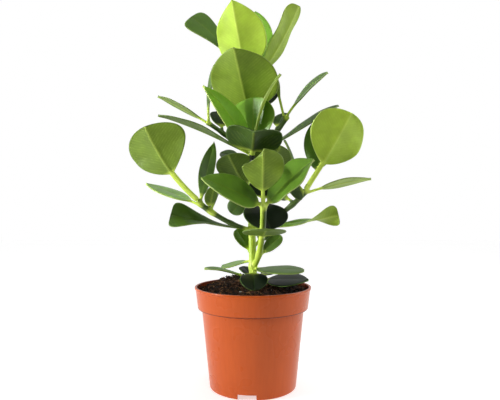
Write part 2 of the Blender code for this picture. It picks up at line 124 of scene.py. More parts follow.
def set_shader(tree, **sockets):
    """Gives sockets of the Principled shader a value or a node's output."""
    shader = tree.nodes["Principled BSDF"]
    for name, value in sockets.items():
        give(tree, shader.inputs[name.replace("_", " ")], value)


def new_finish(name, **sockets):
    """A material with these values on its shader, and its tree of nodes."""
    finish = bpy.data.materials.new(name)
    finish.use_nodes = True
    set_shader(finish.node_tree, **sockets)
    return finish, finish.node_tree


def mixed(tree, share, first, second, way="MIX"):
    """A blend of two colours. The Mix node's colour sockets can only be told apart by number."""
    colours = {0: share, 6: first, 7: second}
    return wire(tree, "Mix", colours, output=2, data_type="RGBA", blend_type=way)


def maths(tree, operation, first, second=0.0):
    return wire(tree, "Math", {0: first, 1: second}, operation=operation)


def times(tree, first, second):
    return maths(tree, "MULTIPLY", first, second)


def ramp(tree, value, low, high, start=0, end=1, run="LINEAR"):
    """A run from low to high, while the value goes from start to end."""
    inputs = {"Value": value, "From Min": start, "From Max": end, "To Min": low, "To Max": high}
    return wire(tree, "MapRange", inputs, interpolation_type=run)


def fade(tree, value, start, end):
    """0 at start and 1 at end, with a soft run between them."""
    return ramp(tree, value, 0, 1, start, end, "SMOOTHSTEP")


def measured(tree, name):
    return wire(tree, "Attribute", {}, output="Fac", attribute_name=name)


def own_place(tree):
    return wire(tree, "TexCoord", {}, output="Object")


def part(tree, place, axis):
    return wire(tree, "SeparateXYZ", {"Vector": place}, output=axis)


def cloudy(tree, size, detail=3, roughness=0.5, place=None):
    """Noise whose blobs are about this size, in metres."""
    inputs = {"Vector": place or own_place(tree), "Scale": 1 / size, "Detail": detail, "Roughness": roughness}
    return wire(tree, "TexNoise", inputs)


def streaky(tree, width, squeeze):
    """Noise drawn out upwards, with squeeze as a streak's width over its height."""
    drawn_out = wire(tree, "Mapping", {"Vector": own_place(tree), "Scale": (1, 1, squeeze)})
    return cloudy(tree, width, 4, 0.6, drawn_out)


def bumpy(tree, height, depth, below=None):
    """Relief of this depth, in metres, on top of the relief below it."""
    inputs = {"Distance": depth, "Height": height}
    if below:
        inputs["Normal"] = below
    return wire(tree, "Bump", inputs)


# %% [markdown]
# ## The studio
#
# White paper behind the plant, lit from above, gives the leaves a pale sheen where the eye grazes them. The
# room behind the camera is dimmer, so that a glossy leaf that faces it stays dark. A world whose strength
# depends on the direction makes such a room, and the camera itself sees plain white. The left lamp is
# narrow and aimed at the leaves, the right one stands a little behind the plant, and a small one above the
# camera gives the leaves a highlight.

# %% Room
ROOM_FRONT = 0.06
ROOM_BACK = 0.7
ROOM_TOP = 0.25
WHITE = (1, 1, 1, 1)

scene = bpy.context.scene
scene.view_settings.view_transform = "Standard"
world = bpy.data.worlds.new("white room")
world.use_nodes = True
scene.world = world
room = world.node_tree
way = wire(room, "TexCoord", {}, output="Generated")
from_sides = ramp(room, part(room, way, "Y"), ROOM_FRONT, ROOM_BACK, start=-1)
from_above = ramp(room, part(room, way, "Z"), 0, ROOM_TOP)
room_light = room.nodes["Background"]
give(room, room_light.inputs["Color"], WHITE)
give(room, room_light.inputs["Strength"], maths(room, "ADD", from_sides, from_above))
white_wall = wire(room, "Background", {"Color": WHITE})
seen = wire(room, "LightPath", {}, output="Is Camera Ray")
chosen = wire(room, "MixShader", {0: seen, 1: room_light.outputs[0], 2: white_wall})
give(room, room.nodes["World Output"].inputs["Surface"], chosen)

# %% Lamps
PLANT_MIDDLE = Vector((0, 0, 0.29))
UPPER_PLANT = Vector((0, 0, 0.36))


def add_lamp(name, place, width, height, power, aim=PLANT_MIDDLE, spread=180):
    """A soft lamp that faces the leaves. A small spread, in degrees, keeps its light off the pot."""
    turn = (aim - place).to_track_quat("-Z", "Y").to_euler()
    bpy.ops.object.light_add(type="AREA", location=place, rotation=turn)
    bpy.context.object.name = name
    lamp = bpy.context.object.data
    lamp.shape = "RECTANGLE"
    lamp.size = width
    lamp.size_y = height
    lamp.energy = power
    lamp.spread = math.radians(spread)


add_lamp("left_lamp", Vector((-1.15, -0.35, 0.5)), 0.4, 0.7, 1.15, UPPER_PLANT, spread=26)
add_lamp("right_lamp", Vector((1.1, 0.15, 0.45)), 0.4, 0.8, 4.0)
add_lamp("front_lamp", Vector((0.15, -0.75, 1.0)), 0.3, 0.3, 1.8)

# %% [markdown]
# The floor is matt white and glows a little. So it shows as white as the paper behind it, and takes only a
# soft shadow round the foot of the pot.

# %% Floor
FLOOR_FRONT = -0.3
FLOOR_BACK = 2.0
FLOOR_WIDTH = 3.0
FLOOR_WHITE = (0.7, 0.7, 0.7, 1)
FLOOR_GLOW = 0.84

bpy.ops.mesh.primitive_plane_add(size=1, location=(0, (FLOOR_FRONT + FLOOR_BACK) / 2, 0))
bpy.ops.transform.resize(value=(FLOOR_WIDTH, FLOOR_BACK - FLOOR_FRONT, 1))
floor = bpy.context.object
floor.name = "floor"
floor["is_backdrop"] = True
finish, tree = new_finish("white floor", Roughness=0.9)
set_shader(tree, Base_Color=FLOOR_WHITE, Emission_Color=FLOOR_WHITE, Emission_Strength=FLOOR_GLOW)
floor.data.materials.append(finish)

# %% [markdown]
# ## Short words for edits
#
# These do what a hand does at the keyboard. `turn_on_axis` makes any round piece, ring after ring, as a
# potter pulls up a wall, and `add_tube` makes round tubes along lines.


# %% Edit helpers
def select_only(*pieces):
    bpy.ops.object.select_all(action="DESELECT")
    for piece in pieces:
        piece.select_set(True)
    bpy.context.view_layer.objects.active = pieces[0]


def apply_all(piece):
    select_only(piece)
    for modifier in list(piece.modifiers):
        bpy.ops.object.modifier_apply(modifier=modifier.name)


def settle(piece, finish, node):
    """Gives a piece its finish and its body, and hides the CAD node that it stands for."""
    piece.data.materials.clear()
    piece.data.materials.append(finish)
    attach(piece, "root")
    if node:
        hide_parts(node)


def triangles(piece):
    return sum(len(face.vertices) - 2 for face in piece.data.polygons)


def add_object(name, data):
    piece = bpy.data.objects.new(name, data)
    scene.collection.objects.link(piece)
    return piece


def turn_on_axis(name, outline, sides):
    """A closed round piece from (radius, height) rings, with the ends filled."""
    radius, height = outline[0]
    bpy.ops.mesh.primitive_circle_add(
        vertices=sides, radius=radius, fill_type="TRIFAN", location=(0, 0, height)
    )
    piece = bpy.context.object
    piece.name = name
    bpy.ops.object.transform_apply()
    bpy.ops.object.mode_set(mode="EDIT")
    bpy.ops.mesh.select_mode(type="EDGE")
    bpy.ops.mesh.select_all(action="SELECT")
    bpy.ops.mesh.region_to_loop()
    for next_radius, next_height in outline[1:]:
        rise = (0, 0, next_height - height)
        bpy.ops.mesh.extrude_region_move(TRANSFORM_OT_translate={"value": rise})
        growth = next_radius / radius
        bpy.ops.transform.resize(value=(growth, growth, 1))
        radius, height = next_radius, next_height
    bpy.ops.mesh.extrude_region_move()
    bpy.ops.mesh.merge(type="CENTER")
    bpy.ops.mesh.select_all(action="SELECT")
    bpy.ops.mesh.normals_make_consistent(inside=False)
    bpy.ops.object.mode_set(mode="OBJECT")
    return piece


def add_tube(name, lines, roundness):
    """A mesh of round tubes with closed ends, along lines of (place, radius)."""
    curve = bpy.data.curves.new(name, "CURVE")
    curve.dimensions = "3D"
    curve.bevel_depth = 1
    curve.bevel_resolution = roundness
    curve.use_fill_caps = True
    for line in lines:
        spline = curve.splines.new("POLY")
        spline.points.add(len(line) - 1)
        for point, (place, radius) in zip(spline.points, line):
            point.co = (*place, 1)
            point.radius = radius
    select_only(add_object(name, curve))
    bpy.ops.object.convert(target="MESH")
    return bpy.context.object


# %% [markdown]
# ## The pot
#
# The real pot is thin injection-moulded plastic: a wall that narrows downwards, a tall band under the rim
# that makes it easy to stack and lift, and a foot ring with three notches that let water out. It could be
# bent from a profile with Spin. Here it is pulled ring by ring, because the outline then reads as a list of
# radii.

# %% Pot outline
RIM_RADIUS = 60 * MM
POT_HEIGHT = 103 * MM
BAND_HEIGHT = 22 * MM
BAND_FOOT_RADIUS = 56.8 * MM
BAND_ROUNDING = 0.7 * MM
BODY_TOP_RADIUS = 52.6 * MM
BODY_ROUNDING = 1.2 * MM
LIP_REACH = 0.9 * MM
LIP_ROUNDING = 0.6 * MM
WALL = 1.5 * MM
FOOT_RADIUS = 44.6 * MM
FOOT_ROUNDING = 2 * MM
FOOT_DEPTH = 6 * MM
FOOT_INSIDE_BELOW = 40.8 * MM
FOOT_INSIDE_ABOVE = 41.6 * MM
SHOULDER = POT_HEIGHT - BAND_HEIGHT
LIP_FOOT = POT_HEIGHT - 2.4 * MM
PLATE_TOP = FOOT_DEPTH + WALL
PLATE_FILLET = 1.2 * MM
ARC_STEPS = 5


def inner_wall(height):
    """The pot's inside radius at a height, from the base plate to the rim."""
    if height < SHOULDER:
        share = height / SHOULDER
        return FOOT_RADIUS + (BODY_TOP_RADIUS - FOOT_RADIUS) * share - WALL
    share = (height - SHOULDER) / BAND_HEIGHT
    return BAND_FOOT_RADIUS + (RIM_RADIUS - LIP_REACH - BAND_FOOT_RADIUS) * share - WALL


def arc(x, y, radius, start, end):
    """Points on part of a circle, for a rounded edge. Angles are in degrees."""
    turns = [math.radians(start + (end - start) * step / ARC_STEPS) for step in range(ARC_STEPS + 1)]
    return [(x + radius * math.cos(t), y + radius * math.sin(t)) for t in turns]


def pot_outline():
    """Up the inside from the base plate, over the lip, down the outside and in under the foot."""
    return [
        (FOOT_RADIUS / 2, PLATE_TOP),
        (inner_wall(PLATE_TOP) - WALL, PLATE_TOP),
        (inner_wall(PLATE_TOP), PLATE_TOP + PLATE_FILLET),
        (inner_wall(SHOULDER - 2 * WALL), SHOULDER - 2 * WALL),
        (inner_wall(SHOULDER + WALL), SHOULDER + WALL),
        *arc(inner_wall(POT_HEIGHT) + LIP_ROUNDING, POT_HEIGHT - LIP_ROUNDING, LIP_ROUNDING, 180, 90),
        *arc(RIM_RADIUS - LIP_ROUNDING, POT_HEIGHT - LIP_ROUNDING, LIP_ROUNDING, 90, 0),
        *arc(RIM_RADIUS - LIP_ROUNDING, LIP_FOOT + LIP_ROUNDING, LIP_ROUNDING, 0, -60),
        (RIM_RADIUS - LIP_REACH, LIP_FOOT - LIP_ROUNDING / 2),
        *arc(BAND_FOOT_RADIUS - BAND_ROUNDING, SHOULDER + BAND_ROUNDING, BAND_ROUNDING, 0, -90),
        *arc(BODY_TOP_RADIUS + BODY_ROUNDING, SHOULDER - BODY_ROUNDING, BODY_ROUNDING, 90, 180),
        *arc(FOOT_RADIUS - FOOT_ROUNDING, FOOT_ROUNDING, FOOT_ROUNDING, 0, -80),
        (FOOT_INSIDE_BELOW, 0),
        (FOOT_INSIDE_ABOVE, FOOT_DEPTH),
        (FOOT_RADIUS / 2, FOOT_DEPTH),
    ]


# %% Pot with its notches and drain holes
POT_SIDES = 180
POT_CREASE = 28  # degrees; a sharper edge stays crisp
NOTCH_COUNT = 3
NOTCH_WIDTH = 18.5 * MM
NOTCH_HEIGHT = 5.4 * MM
NOTCH_REACH = 12 * MM
NOTCH_HEADING = -98
DRAIN_COUNT = 6
DRAIN_SIDES = 32
DRAIN_RADIUS = 4 * MM
DRAIN_REACH = 6 * MM
DRAIN_RING = 27 * MM
DRAIN_HEADING = 30


def round_the_axis(count, first, radius, height):
    """Even headings round the pot, from the first, in degrees, each with its place."""
    for number in range(count):
        heading = math.radians(first + number * 360 / count)
        yield heading, (radius * math.cos(heading), radius * math.sin(heading), height)


def cut_away(piece, cutter):
    boolean = piece.modifiers.new("cut", "BOOLEAN")
    boolean.operation = "DIFFERENCE"
    boolean.object = cutter
    apply_all(piece)
    bpy.data.objects.remove(cutter)


pot = turn_on_axis("nursery_pot", pot_outline(), POT_SIDES)
for heading, place in round_the_axis(NOTCH_COUNT, NOTCH_HEADING, FOOT_RADIUS, 0):
    bpy.ops.mesh.primitive_cube_add(size=1, location=place, rotation=(0, 0, heading + math.pi / 2))
    bpy.context.object.scale = (NOTCH_WIDTH, NOTCH_REACH, 2 * NOTCH_HEIGHT)
    cut_away(pot, bpy.context.object)
for _, place in round_the_axis(DRAIN_COUNT, DRAIN_HEADING, DRAIN_RING, FOOT_DEPTH):
    bpy.ops.mesh.primitive_cylinder_add(
        vertices=DRAIN_SIDES, radius=DRAIN_RADIUS, depth=DRAIN_REACH, location=place
    )
    cut_away(pot, bpy.context.object)
select_only(pot)
bpy.ops.object.shade_smooth_by_angle(angle=math.radians(POT_CREASE))
print("pot:", triangles(pot), "triangles")

# %% [markdown]
# The plastic is a plain terracotta colour with a soft gloss. Up close it has very faint upright streaks
# from its flow into the mould, faint pale patches and a fine grain. A painted shadow lies as a dark line in
# the corner under the band, and the inside above the soil is darkened with painted shade. Their pairs of
# numbers say where each starts and where it is full.

# %% Pot finish
POT_COLOUR = paint(194, 86, 30)
POT_DEEP = paint(189, 82, 27)
# The colour of the painted shade under the band and inside the rim
POT_SHADE = paint(104, 38, 14)
POT_PALE = paint(195, 92, 38)
POT_ROUGHNESS = (0.24, 0.32)
POT_RELIEF = 0.02 * MM
# Painted shadow line under the band: where it starts and where it is full
PAINTED_SHADOW_LINE = (1.4 * MM, 0.3 * MM)
# Painted shade on the inside wall above the soil: where it starts and where it is full
INSIDE_SHADE_RADIUS = (RIM_RADIUS - 1.8 * MM, RIM_RADIUS - 2.3 * MM)
INSIDE_SHADE_HEIGHT = (POT_HEIGHT - 6 * MM, POT_HEIGHT - 5 * MM)
INSIDE_SHADE_STRENGTH = 0.8


def pot_finish():
    finish, tree = new_finish("pot plastic", Specular_IOR_Level=0.25)
    streaks = streaky(tree, 2.5 * MM, 0.04)
    drifts = cloudy(tree, 30 * MM, 2)
    colour = mixed(tree, fade(tree, streaks, 0.35, 0.7), POT_DEEP, POT_COLOUR)
    colour = mixed(tree, times(tree, fade(tree, drifts, 0.3, 0.8), 0.3), colour, POT_PALE)
    x, y, height = (part(tree, own_place(tree), axis) for axis in "XYZ")
    from_shoulder = maths(tree, "ABSOLUTE", maths(tree, "SUBTRACT", height, SHOULDER))
    # Painted shadow: a dark line in the corner under the band, where shade falls
    colour = mixed(tree, fade(tree, from_shoulder, *PAINTED_SHADOW_LINE), colour, POT_SHADE)
    radius = maths(tree, "POWER", maths(tree, "ADD", times(tree, x, x), times(tree, y, y)), 0.5)
    # Painted shade on the inside of the rim, above the soil, where the rim shades it
    inside = times(tree, fade(tree, radius, *INSIDE_SHADE_RADIUS), fade(tree, height, *INSIDE_SHADE_HEIGHT))
    colour = mixed(tree, times(tree, inside, INSIDE_SHADE_STRENGTH), colour, POT_SHADE)
    grain = cloudy(tree, 0.6 * MM, 4, 0.65)
    relief = bumpy(tree, grain, POT_RELIEF, bumpy(tree, streaks, POT_RELIEF))
    set_shader(tree, Base_Color=colour, Roughness=ramp(tree, drifts, *POT_ROUGHNESS), Normal=relief)
    return finish


settle(pot, pot_finish(), "pot")

# %% [markdown]
# ## The soil
#
# The soil is dark peat, pressed against the wall, a little higher round the stem, with a heap behind it on
# the left. It is turned like the pot, as a plug, and its top is then lifted by a formula with lumps of two
# sizes.

# %% Soil plug
CLEARANCE = 0.3 * MM
SOIL_EDGE = 99.5 * MM
SOIL_CROWN = 6 * MM
HEAP_HEIGHT = 6 * MM
HEAP_PLACE = (-18 * MM, 34 * MM)
HEAP_SPREAD = 22 * MM
SOIL_CRUMB = 2.6 * MM
SOIL_CRUMB_SIZE = 9 * MM
LUMP_HEIGHT = 1.6 * MM
LUMP_SIZE = 3.5 * MM
LUMP_OCTAVES = 3
LUMP_MEAN = 0.7
NOISE_SLICE = 0.1
SOIL_RINGS = 56
SOIL_SECTORS = 200


def soil_height(x, y):
    """The surface: a low crown, a heap behind the stem on the left, and crumbs."""
    radius = math.hypot(x, y)
    edge = inner_wall(SOIL_EDGE)
    crown = SOIL_CROWN * (1 - (radius / edge) ** 2)
    away = math.hypot(x - HEAP_PLACE[0], y - HEAP_PLACE[1])
    heap = HEAP_HEIGHT * math.exp(-((away / HEAP_SPREAD) ** 2))
    crumb = SOIL_CRUMB * noise.noise(Vector((x, y, 0)) / SOIL_CRUMB_SIZE)
    return SOIL_EDGE + crown + heap + crumb


def lumps(x, y):
    """The small lumps that the plain solid leaves out, from another slice of the noise."""
    place = Vector((x, y, NOISE_SLICE)) / LUMP_SIZE
    fine = noise.turbulence(place, LUMP_OCTAVES, False, noise_basis="PERLIN_ORIGINAL")
    return LUMP_HEIGHT * (fine - LUMP_MEAN)


def soil_outline():
    """Rings over the top, from the middle out, and then down the inside of the pot."""
    edge = inner_wall(SOIL_EDGE - SOIL_CRUMB) - 2 * CLEARANCE
    floor_height = PLATE_TOP + CLEARANCE
    outline = [(edge * (ring + 1) / SOIL_RINGS, SOIL_EDGE) for ring in range(SOIL_RINGS)]
    for height in (SHOULDER + WALL, SHOULDER - 2 * WALL, floor_height):
        outline.append((inner_wall(height) - 2 * CLEARANCE, height))
    return outline + [(FOOT_RADIUS / 2, floor_height)]


soil = turn_on_axis("soil_bed", soil_outline(), SOIL_SECTORS)
for vertex in soil.data.vertices:
    if vertex.co.z > SOIL_EDGE - CLEARANCE:
        vertex.co.z = soil_height(vertex.co.x, vertex.co.y) + lumps(vertex.co.x, vertex.co.y)
select_only(soil)
bpy.ops.object.shade_smooth()
print("soil:", triangles(soil), "triangles")

# %% [markdown]
# Loose crumbs lie on the soil, each a small ball pushed out of round. A few shapes are modelled once and
# then copied at other sizes and turns. The draw is seeded, so the crumbs fall in the same places each time.

# %% Crumbs
SEED = 7
CRUMB_SHAPES = 6
CRUMB_ROUNDNESS = 0.6
CRUMB_COUNT = 620
CRUMB_SIZE = 2.0 * MM
CRUMB_SQUASH = ((0.6, 1), (0.6, 1), (0.5, 0.9))
WALL_MARGIN = 2.5 * MM
HEAP_CRUMB_COUNT = 60
HEAP_CRUMB_SPREAD = (9, 6)  # this and the next two are in millimetres
HEAP_CRUMB_LIFT = (0, 2)
HEAP_CRUMB_SIZE = (0.6, 1.3)
FULL_TURN = 6.3  # radians


def crumb_shape(draw, roundness):
    """A ball of 80 faces, flattened, with each corner pushed in by chance."""
    bpy.ops.mesh.primitive_ico_sphere_add(subdivisions=2, radius=1)
    ball = bpy.context.object
    shape = ball.data.copy()
    bpy.data.objects.remove(ball)
    squash = Vector([draw.uniform(least, most) for least, most in CRUMB_SQUASH])
    for vertex in shape.vertices:
        push = roundness + (1 - roundness) * draw.random()
        vertex.co = vertex.co * push * squash
    return shape


def scatter(name, shapes, places, draw):
    """One piece from many copies, each with its own size and turn."""
    heap = bmesh.new()
    for place, size in places:
        start = len(heap.verts)
        heap.from_mesh(draw.choice(shapes))
        heap.verts.ensure_lookup_table()
        turn = Matrix.Rotation(draw.uniform(0, FULL_TURN), 4, "Z")
        turn = turn @ Matrix.Rotation(draw.uniform(0, FULL_TURN), 4, "X")
        move = Matrix.Translation(place) @ turn @ Matrix.Scale(size, 4)
        bmesh.ops.transform(heap, matrix=move, verts=heap.verts[start:])
    mesh = bpy.data.meshes.new(name)
    heap.to_mesh(mesh)
    heap.free()
    return add_object(name, mesh)


def above_soil(x, y, lift=0.0):
    return Vector((x, y, soil_height(x, y) + lift))


def on_soil(draw, reach=1.0):
    """A seeded place on the soil, even over its area."""
    edge = (inner_wall(SOIL_EDGE) - WALL_MARGIN) * reach
    heading = draw.uniform(0, 2 * math.pi)
    radius = edge * math.sqrt(draw.random())
    return above_soil(radius * math.cos(heading), radius * math.sin(heading))


draw = random.Random(SEED)
shapes = [crumb_shape(draw, CRUMB_ROUNDNESS) for _ in range(CRUMB_SHAPES)]
places = [(on_soil(draw), draw.uniform(0.5, 1.0) ** 2 * CRUMB_SIZE) for _ in range(CRUMB_COUNT)]
for _ in range(HEAP_CRUMB_COUNT):
    x, y = (at + draw.gauss(0, spread) * MM for at, spread in zip(HEAP_PLACE, HEAP_CRUMB_SPREAD))
    lift = draw.uniform(*HEAP_CRUMB_LIFT) * MM
    places.append((above_soil(x, y, lift), draw.uniform(*HEAP_CRUMB_SIZE) * MM))
crumbs = scatter("soil_crumbs", shapes, places, draw)
print("crumbs:", len(places), "triangles:", triangles(crumbs))

# %% [markdown]
# Peat holds brown fibres that catch the light, and a few white grains of perlite. A fibre is a thin tube
# along a bent line.

# %% Fibres and perlite
FIBRE_COUNT = 190
FIBRE_POINTS = 5
FIBRE_RADIUS = 0.16 * MM
FIBRE_STEP = (1.2, 3.2)  # this and the next are in millimetres
FIBRE_LIFT = (0.3, 1.5)
FIBRE_REACH = 0.93
FIBRE_BEND = 0.5  # radians
FIBRE_MARGIN = 2 * MM
PERLITE = [(-11.6, -34.5, 1.1), (-12.8, -37.5, 0.95), (18, -30, 0.5), (-30, 12, 0.6), (22, 25, 0.7)]
PERLITE_SHAPES = 3
PERLITE_ROUNDNESS = 0.8
PERLITE_LIFT = 0.7


def fibre_line(draw):
    """Points that wander over the soil, half as thick at the ends, and stop short of the wall."""
    start = on_soil(draw, FIBRE_REACH)
    heading = draw.uniform(0, 2 * math.pi)
    step = draw.uniform(*FIBRE_STEP) * MM
    line = []
    x, y = start.x, start.y
    for number in range(FIBRE_POINTS):
        lift = draw.uniform(*FIBRE_LIFT) * MM
        from_middle = abs(2 * number / (FIBRE_POINTS - 1) - 1)
        line.append((above_soil(x, y, lift), FIBRE_RADIUS * (1 - from_middle / 2)))
        heading += draw.gauss(0, FIBRE_BEND)
        x += step * math.cos(heading)
        y += step * math.sin(heading)
        if math.hypot(x, y) > inner_wall(SOIL_EDGE) - FIBRE_MARGIN:
            break
    return line


lines = [line for line in (fibre_line(draw) for _ in range(FIBRE_COUNT)) if len(line) > 2]
fibres = add_tube("soil_fibres", lines, 1)
shapes = [crumb_shape(draw, PERLITE_ROUNDNESS) for _ in range(PERLITE_SHAPES)]
places = [(above_soil(x * MM, y * MM, r * MM * PERLITE_LIFT), r * MM) for x, y, r in PERLITE]
perlite = scatter("perlite_grains", shapes, places, draw)
print("fibres:", len(lines), "perlite grains:", len(PERLITE))

# %% [markdown]
# The finishes of the soil share one graph: near-black peat with patches of brown, dull all over. The crumbs
# are a little browner than the bed under them, and the fibres run from brown to tan.

# %% Soil finishes
PEAT = paint(18, 12, 10)
PEAT_BROWN = paint(112, 74, 50)
FIBRE_BROWN = paint(92, 56, 36)
FIBRE_TAN = paint(186, 148, 98)
PERLITE_GREY = paint(214, 208, 196)
PERLITE_WHITE = paint(240, 236, 226)


def soil_finish(name, dark, light, share, depth):
    """Patches of brown, broken up by specks and by broad spots of painted shade, as in hollows, with relief
    of this depth.
    """
    finish, tree = new_finish(name, Roughness=0.95, Specular_IOR_Level=0.25)
    patches = cloudy(tree, 3 * MM, 5, 0.65)
    specks = cloudy(tree, 0.7 * MM, 3, 0.7)
    shaded_hollows = cloudy(tree, 9 * MM, 2)
    mask = times(tree, fade(tree, patches, 0.36, 0.66), fade(tree, specks, 0.3, 0.6))
    # Painted shade: broad spots where the brown patches stay dark, as the shade in hollows
    mask = times(tree, mask, fade(tree, shaded_hollows, 0.4, 0.54))
    colour = mixed(tree, times(tree, mask, share), dark, light)
    relief = bumpy(tree, specks, depth / 3, bumpy(tree, patches, depth))
    set_shader(tree, Base_Color=colour, Normal=relief)
    return finish


settle(soil, soil_finish("peat", PEAT, PEAT_BROWN, 0.85, 1.2 * MM), "soil")
settle(crumbs, soil_finish("peat crumbs", PEAT, PEAT_BROWN, 1.0, 0.6 * MM), None)
settle(fibres, soil_finish("peat fibres", FIBRE_BROWN, FIBRE_TAN, 1.0, 0.1 * MM), None)
settle(perlite, soil_finish("perlite", PERLITE_GREY, PERLITE_WHITE, 1.0, 0.2 * MM), None)

# %% [markdown]
# ## The plant's plan
#
# The stem is a trunk with six side shoots. Each shoot is a line through its nodes, where the leaves grow in
# pairs. These are the same places as in the CAD model, so each finer piece lies where its solid does.

# %% Shoots
# Nodes and both ends' radii are in millimetres; bright is the first node that has a bright colour
Shoot = namedtuple("Shoot", "nodes radius bright", defaults=[3])
SHOOTS = {
    "trunk": Shoot(
        [(0, 0, 90), (0, 0, 110), (0, 0, 123), (-1, 2, 162), (-2, 4, 200), (-1, 5, 240), (-2, 3, 280)]
        + [(-4, 0, 318)],
        (4.3, 2.6),
        1,
    ),
    "front": Shoot([(1, 0, 122), (6, -14, 137), (9, -35, 160), (10, -50, 187)], (3.0, 3.1), 1),
    "left": Shoot([(-1, 2, 160), (-22, -8, 168), (-42, -17, 180), (-54, -20, 189)], (2.3, 2.9), 2),
    "right": Shoot([(-1, 2, 160), (18, -4, 170), (40, -10, 187), (56, -15, 203)], (2.5, 2.7)),
    "upper_left": Shoot([(-1, 5, 239), (-18, 8, 251), (-31, 9, 262), (-48, 10, 274)], (2.3, 2.4)),
    "upper_right": Shoot([(-1, 5, 239), (14, 10, 255), (27, 14, 267), (37, 15, 281)], (2.3, 2.6)),
    "middle": Shoot([(-2, 4, 203), (-1, -12, 216), (-1, -22, 231), (-1, -27, 241)], (2.6, 2.6)),
}

# %% [markdown]
# Each leaf is a row of numbers: where it grows, where it points, how long and wide it is, how old and how
# shaded it is, and how it bends and turns. Young leaves at the tips of the shoots are a bright yellow-green.
# Old ones low in the plant are a deep green, and leaves in shade get a higher number still, so that their
# near-black is partly painted shade.


# %% Leaves
@dataclass
class Leaf:
    """One leaf. Lengths are in millimetres and angles in degrees."""

    name: str
    shoot: str
    node: float  # its place on the shoot, counted in nodes
    heading: float  # the way that it points, in plan
    rise: float  # how steeply its tip stands above its root
    length: float  # along the midrib, from the middle of the stem
    width: float
    age_and_shade: float  # 0 for the youngest, 1 for the oldest, raised for a leaf in shade as painted shade
    arch: float = -20  # how far the midrib bends, root to tip; below 0 the tip drops
    roll: float = 0  # the blade's turn about its midrib; above 0 the left half is raised
    twist: float = 0  # the roll that the tip has on top of that
    sweep: float = 0  # how far the heading turns, root to tip
    fold: float = 14  # how steeply each half leaves the midrib
    margin: float = -12  # how much that slope has changed at the margin
    wave: float = 0  # height of the waves in the margin
    stalk: float = 12  # the part of the length that is stalk
    base: float = 0.75  # 0.5 is a round base, 1 a straight wedge
    tip: float = 0.5  # 0.5 is a round tip, 1 a pointed one
    right_tip: float = 0  # above 1, the right margin hollows in to the tip; 0 is like the left


